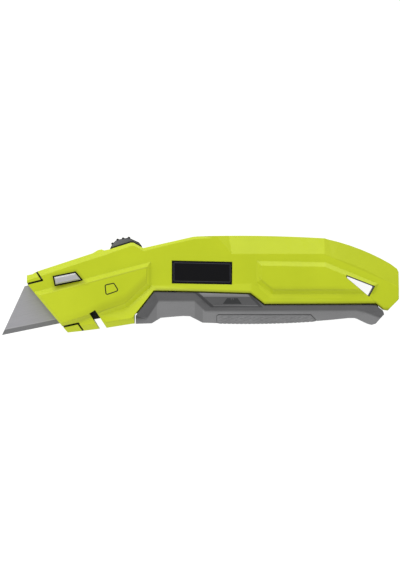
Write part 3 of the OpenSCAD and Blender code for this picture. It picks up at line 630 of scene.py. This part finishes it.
def blade_mark(name, side, finish):
    """Generic picture of a spare blade, raised on the thumb catch of one side.

    u runs from the left end to the right one and v from the cutting edge to the back, which
    lies the share h(u) of the full height up: 1, less two half-round notches. The point is
    (1 - u) left(v h) + u right(v h). The catch's face slopes, z = z0 + slope (y - y0), on
    both sides of the mid-plane (side is 1 on the front and -1 on the back). The picture
    stands height over it and rounds down to it over the outermost part of u and v.
    """
    (left_foot, left_top), (right_foot, right_top) = (9.9, 11.8), (18.2, 16.3)
    edge_y, back_y, height, sunk = -8.05, -5.5, 0.12, 0.1
    catch_y, catch_z, slope = -3.2, 10.9, 2.0 / 8.6
    notches, notch_size, notch_depth = (0.42, 0.58), 0.055, 0.34
    nu, nv = 60, 16
    u, v = np.meshgrid(np.linspace(0, 1, nu), np.linspace(0, 1, nv), indexing="ij")
    dip = np.maximum.reduce([1 - ((u - c) / notch_size) ** 2 for c in notches])
    share = v * (1 - notch_depth * np.sqrt(np.clip(dip, 0, 1)))
    x = (1 - u) * (left_foot + (left_top - left_foot) * share) \
        + u * (right_foot + (right_top - right_foot) * share)
    y = edge_y + (back_y - edge_y) * share
    face = MID_Z + side * (catch_z + slope * (y - catch_y))
    rim = np.minimum.reduce([u, 1 - u, v * 0.4, (1 - v) * 0.4]) / 0.03
    top = np.stack([x, y, face + side * height * np.clip(rim, 0, 1) ** 0.5], -1)
    foot = np.stack([x, y, face - side * sunk], -1)
    index = np.arange(nu * nv).reshape(nu, nv)
    border = np.concatenate([index[:, 0], index[-1, 1:], index[-2::-1, -1], index[0, -2:0:-1]])
    after = np.roll(border, -1)
    wall = np.stack([border, after, after + nu * nv, border + nu * nv], -1)
    cells = weave(nu, nv)
    add_piece(name, np.stack([top, foot]), np.concatenate([cells[:, ::-1], cells + nu * nv, wall]),
              "magazine_body", finish)


def grip_pad_skin():
    """Rubber pad round the belly of the grip, with a net of low diamond waves.

    At each x the section is a U: down the front face, round a small corner, across the
    belly and up the back face, then back inside it. The belly follows a quadratic curve
    through its control points. The skin rises by
    0.5 + (cos 2 pi (s + kx) / p + cos 2 pi (s - kx) / p) / 4 of the wave height, where s is
    the distance round the section, and sinks into a groove along its border.
    """
    slant, pitch, wave = 0.36, 1.3, 0.26
    groove_width, groove_depth, fade = 0.35, 0.45, 0.5
    wall, lip = 1.1, 0.1
    # how far the skin's faces, upper edge and two ends stand inside the CAD pad's
    face_in, top_in, front_in, rear_in = 0.19, 0.2, 0.06, 0.45
    low, high = box_mm("grip_pad")
    middle_z = (low[2] + high[2]) / 2
    half = (high[2] - low[2]) / 2 - face_in
    nx = 330
    x = np.linspace(low[0] + front_in, high[0] - rear_in, nx)
    t = np.linspace(0, 1, 9)[:, None]
    a, b, c = np.array(BELLY)
    belly = (1 - t) ** 2 * a + 2 * t * (1 - t) * b + t ** 2 * c
    top = (np.interp(x, *np.array(PAD_TOP).T) - top_in)[:, None]
    bottom = np.interp(x, *belly[::-1].T)[:, None]
    tall = top - bottom
    corner = np.minimum(0.7, tall * 0.45)
    r = np.minimum(0.35, tall * 0.3)

    # one side of the U: the rolled upper edge, the face, the corner, half of the belly
    roll = np.linspace(0, np.pi / 2, 5)[:-1]
    face = np.linspace(0, 1, 26)
    bend = np.linspace(0, np.pi / 2, 7)[1:]
    flat = np.linspace(0, 1, 52)[1:]
    y = np.concatenate([top - r * (1 - np.cos(roll)),
                        top - r + (bottom + corner - top + r) * face,
                        bottom + corner - corner * np.sin(bend),
                        np.repeat(bottom, len(flat), 1)], 1)
    z = np.concatenate([half - r + r * np.sin(roll),
                        np.full((nx, len(face)), half),
                        half - corner + corner * np.cos(bend),
                        (half - corner) * (1 - flat)], 1)
    out_y = np.concatenate([np.cos(roll), np.zeros(len(face)), -np.sin(bend), -np.ones(len(flat))])
    out_z = np.concatenate([np.sin(roll), np.ones(len(face)), np.cos(bend), np.zeros(len(flat))])
    step = np.hypot(np.diff(y, axis=1), np.diff(z, axis=1))
    run = np.concatenate([np.zeros((nx, 1)), np.cumsum(step, 1)], 1)
    s = run[:, -1:] - run               # distance from the middle of the belly

    def both_sides(m, sign=1):
        return np.concatenate([m, sign * m[..., -2::-1]], -1)

    y, z, run, s = both_sides(y), both_sides(z, -1), both_sides(run), both_sides(s, -1)
    out_y, out_z = both_sides(out_y), both_sides(out_z, -1)
    x = np.broadcast_to(x[:, None], y.shape)
    net = 0.5 + 0.25 * (np.cos(2 * np.pi * (s + slant * x) / pitch)
                        + np.cos(2 * np.pi * (s - slant * x) / pitch))
    border = np.minimum.reduce([run, x - x[:1], x[-1:] - x])
    rise = wave * net * np.clip((border - groove_width) / fade, 0, 1)
    sink = groove_depth * np.clip(1 - border / groove_width, 0, 1) ** 2
    y = y + out_y * rise
    z = z + out_z * (rise - sink)

    # inner side of the U, from the back's upper edge round to the front's
    deep = bottom + np.minimum(wall, tall * 0.8)
    y = np.concatenate([y, top - lip, deep, deep, top - lip], 1)
    z = np.concatenate([z, np.tile((half - wall) * np.array([-1, -1, 1, 1]), (nx, 1))], 1)
    round_it = y.shape[1]
    points = np.stack([np.broadcast_to(x[:, :1], y.shape), y, middle_z + z], -1)
    first = list(range(round_it))
    last = [k + (nx - 1) * round_it for k in first]
    pad = add_piece("grip_pad_skin", points, weave(nx, round_it, close_columns=True),
                    "magazine_body", FINISHES["grip_gray"],
                    caps=[first[::-1], last], smooth=True)
    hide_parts("grip_pad")


def pressed_spring(node, body, axis):
    """Twin of a coil spring's solid, welded into one mesh, riding on the spring's body.

    The CAD solid is hidden. The foot is its end where point . axis is least.
    """
    mesh = frame["nodes"][node].data.copy()
    shell = bmesh.new()
    shell.from_mesh(mesh)
    bmesh.ops.remove_doubles(shell, verts=shell.verts, dist=0.001 * MM)
    shell.to_mesh(mesh)
    shell.free()
    spring = place_mesh(node + "_coil", mesh)
    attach(spring, body)
    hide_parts(node)
    points = np.empty(3 * len(mesh.vertices))
    mesh.vertices.foreach_get("co", points)
    points = points.reshape(-1, 3)
    reach = points @ np.array(axis)
    tuple(points[reach.argmin()])
    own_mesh(spring)


pressed_spring("thumb_spring", "carriage", ACROSS_BLADE)
pressed_spring("release_spring", "body", (0.0, 0.0, 1.0))
pressed_spring("lock_spring", "carriage", (0.0, 0.0, 1.0))
grip_pad_skin()
plate_rim()
bare_mark()
mark_ink = ink("mark_dark", rgb(45, 46, 47))
blade_mark("blade_mark_front", 1, mark_ink)
blade_mark("blade_mark_back", -1, mark_ink)


# ------------------------------------------------------------------ stage and lights
def pale_floor(reach, drop):
    """A flat square floor, a grid from -reach to reach, a hair under the knife.

    It is a light table: its own glow keeps it nearly white, also under the knife.
    """
    u = np.linspace(-reach, reach, 3)
    x, y = np.meshgrid(u, u, indexing="ij")
    points = np.stack([x, y, np.full_like(x, -drop)], -1).reshape(-1, 3)
    mesh = bpy.data.meshes.new("floor")
    mesh.from_pydata(points.tolist(), [], weave(*x.shape).tolist())
    f = Finish("floor_pale", Roughness=0.9, Specular_IOR_Level=0.1, Emission_Strength=0.93,
               Emission_Color=(1.0, 1.0, 1.0, 1.0))
    mesh.materials.append(f.surface(rgb(120, 120, 120)).material)
    place_mesh("floor", mesh)


def lamp(name, place, size, watts):
    """A square soft box at place, turned to face the middle of the knife."""
    data = bpy.data.lights.new(name, "AREA")
    data.shape, data.size, data.energy = "SQUARE", size, watts
    box = bpy.data.objects.new(name, data)
    box.location = place
    box.rotation_mode = "QUATERNION"
    box.rotation_quaternion = (middle - Vector(place)).to_track_quat("-Z", "Y")
    bpy.context.scene.collection.objects.link(box)


middle = (cad_box[0] + cad_box[1]) / 2
pale_floor(reach=4.0, drop=0.0002)
lamp("sky", (-0.35, 0.88, 0.66), 0.9, 5.4)
lamp("rim", (0.28, 0.95, 0.10), 0.3, 1.8)
lamp("left", (-0.90, 0.20, 0.60), 0.6, 1.8)
lamp("right", (0.95, -0.12, 0.45), 0.5, 0.35)
lamp("fill", (0.10, -0.85, 0.75), 0.9, 2.2)
world = bpy.context.scene.world or bpy.data.worlds.new("studio")
bpy.context.scene.world = world
world.use_nodes = True
background = world.node_tree.nodes["Background"]
background.inputs["Color"].default_value = (1, 1, 1, 1)
background.inputs["Strength"].default_value = 0.62
bpy.context.scene.view_settings.view_transform = "Standard"

# ------------------------------------------------------------------ camera
# straight above the knife, which fills 99% of the frame's width; the frame is 400 by 570
LENS, SENSOR = 300.0, 36.0
SEEN_WIDTH = (cad_box[1].x - cad_box[0].x) / 0.99
SEEN_HEIGHT = SEEN_WIDTH * 570 / 400
SHIFT_UP = 0.2 * MM
camera_data = bpy.data.cameras.new("camera")
camera_data.lens, camera_data.sensor_width = LENS, SENSOR
camera_data.clip_end = 20
camera = bpy.data.objects.new("camera", camera_data)
camera.location = (middle.x, middle.y + SHIFT_UP, middle.z + SEEN_HEIGHT * LENS / SENSOR)
bpy.context.scene.collection.objects.link(camera)
bpy.context.scene.camera = camera
